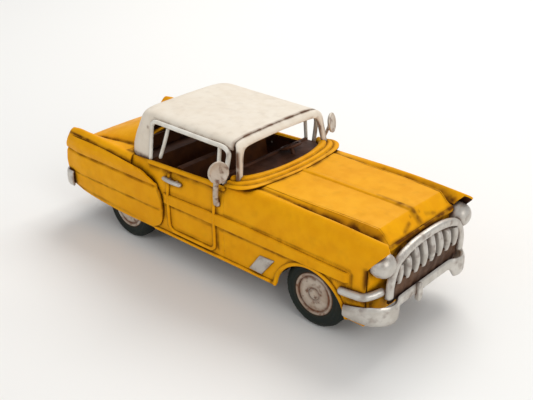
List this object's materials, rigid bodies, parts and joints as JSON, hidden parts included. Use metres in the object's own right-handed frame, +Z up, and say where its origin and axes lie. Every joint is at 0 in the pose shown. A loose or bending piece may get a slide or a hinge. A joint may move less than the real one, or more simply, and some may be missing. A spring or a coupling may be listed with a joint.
{
  "type": "friction tin car",
  "caption": "Old-style tin saloon car with a friction flywheel motor on the rear axle, rolling wheels, cream roof and silver bright trim.",
  "frame": {"origin": "on the ground under the middle of the car's overall box", "axes": "+X forward, +Y to the car's left, +Z up"},
  "size_m": [0.1619, 0.0704, 0.057],
  "materials": {
    "yellow_paint": "hand-brushed yellow enamel with brown wash in the seams, semi-gloss",
    "cream_paint": "cream enamel, brown wash at the edges, semi-matt",
    "silver_paint": "silver paint over tin, brushed on, satin with brown stains",
    "interior_paint": "dark brown paint, matt",
    "rusted_paint": "yellow enamel stained dark brown, matt",
    "steel": "plain steel, slightly dull",
    "brass": "plain stamped brass",
    "flywheel_metal": "dull cast metal",
    "tyre": "black rubber, satin",
    "lamp_red": "dark red paint, gloss"
  },
  "bodies": {
    "root": {"floor_pan": "rusted_paint", "body_side_right": "yellow_paint", "body_side_left": "yellow_paint", "hood": "yellow_paint", "nose_panel": "yellow_paint", "front_valance": "rusted_paint", "cowl_surround": "yellow_paint", "rear_deck": "yellow_paint", "tail_panel": "yellow_paint", "rear_quarter_right": "yellow_paint", "rear_quarter_left": "yellow_paint", "roof_panel": "cream_paint", "windshield_frame": "cream_paint", "window_rods_right": "cream_paint", "window_rods_left": "cream_paint", "door_trim_right": "yellow_paint", "door_trim_left": "yellow_paint", "side_moulding_right": "yellow_paint", "side_moulding_left": "yellow_paint", "sill_bead_right": "yellow_paint", "sill_bead_left": "yellow_paint", "fender_plates": "silver_paint", "door_handles": "silver_paint", "mirror_right": "silver_paint", "mirror_left": "silver_paint", "headlight_right": "silver_paint", "headlight_left": "silver_paint", "parking_light_right": "silver_paint", "parking_light_left": "silver_paint", "grille_frame": "silver_paint", "grille_teeth": "silver_paint", "front_bumper": "silver_paint", "bumper_guard": "silver_paint", "rear_bumper": "silver_paint", "taillights": "lamp_red", "dashboard": "interior_paint", "steering_wheel": "interior_paint", "steering_column": "interior_paint", "front_seat": "interior_paint", "rear_seat": "interior_paint", "front_axle_bracket": "steel", "motor_plate_right": "steel", "motor_plate_left": "steel", "motor_spacers": "steel"},
    "front_wheels": {"front_axle": "steel", "front_tyre_right": "tyre", "front_tyre_left": "tyre", "front_rim_right": "silver_paint", "front_rim_left": "silver_paint"},
    "rear_wheels": {"rear_axle": "steel", "rear_tyre_right": "tyre", "rear_tyre_left": "tyre", "rear_rim_right": "silver_paint", "rear_rim_left": "silver_paint", "axle_gear": "brass"},
    "idler": {"idler_gear": "brass", "idler_shaft": "steel"},
    "flywheel": {"flywheel": "flywheel_metal", "flywheel_shaft": "steel"}
  },
  "joints": [
    {"name": "front_wheels_spin", "type": "hinge", "parent": "root", "child": "front_wheels", "pos_m": [0.0509, 0, 0.0125], "axis": [0, 1, 0], "continuous": true},
    {"name": "rear_wheels_spin", "type": "hinge", "parent": "root", "child": "rear_wheels", "pos_m": [-0.0433, 0, 0.0125], "axis": [0, 1, 0], "continuous": true},
    {"name": "idler_spin", "type": "hinge", "parent": "root", "child": "idler", "pos_m": [-0.05367, 0, 0.01976], "axis": [0, 1, 0], "continuous": true},
    {"name": "flywheel_spin", "type": "hinge", "parent": "root", "child": "flywheel", "pos_m": [-0.06573, 0, 0.01976], "axis": [0, 1, 0], "continuous": true}
  ],
  "couplings": [
    {"joint": "idler_spin", "follows": "rear_wheels_spin", "ratio": -3.2},
    {"joint": "flywheel_spin", "follows": "rear_wheels_spin", "ratio": 9.6}
  ]
}
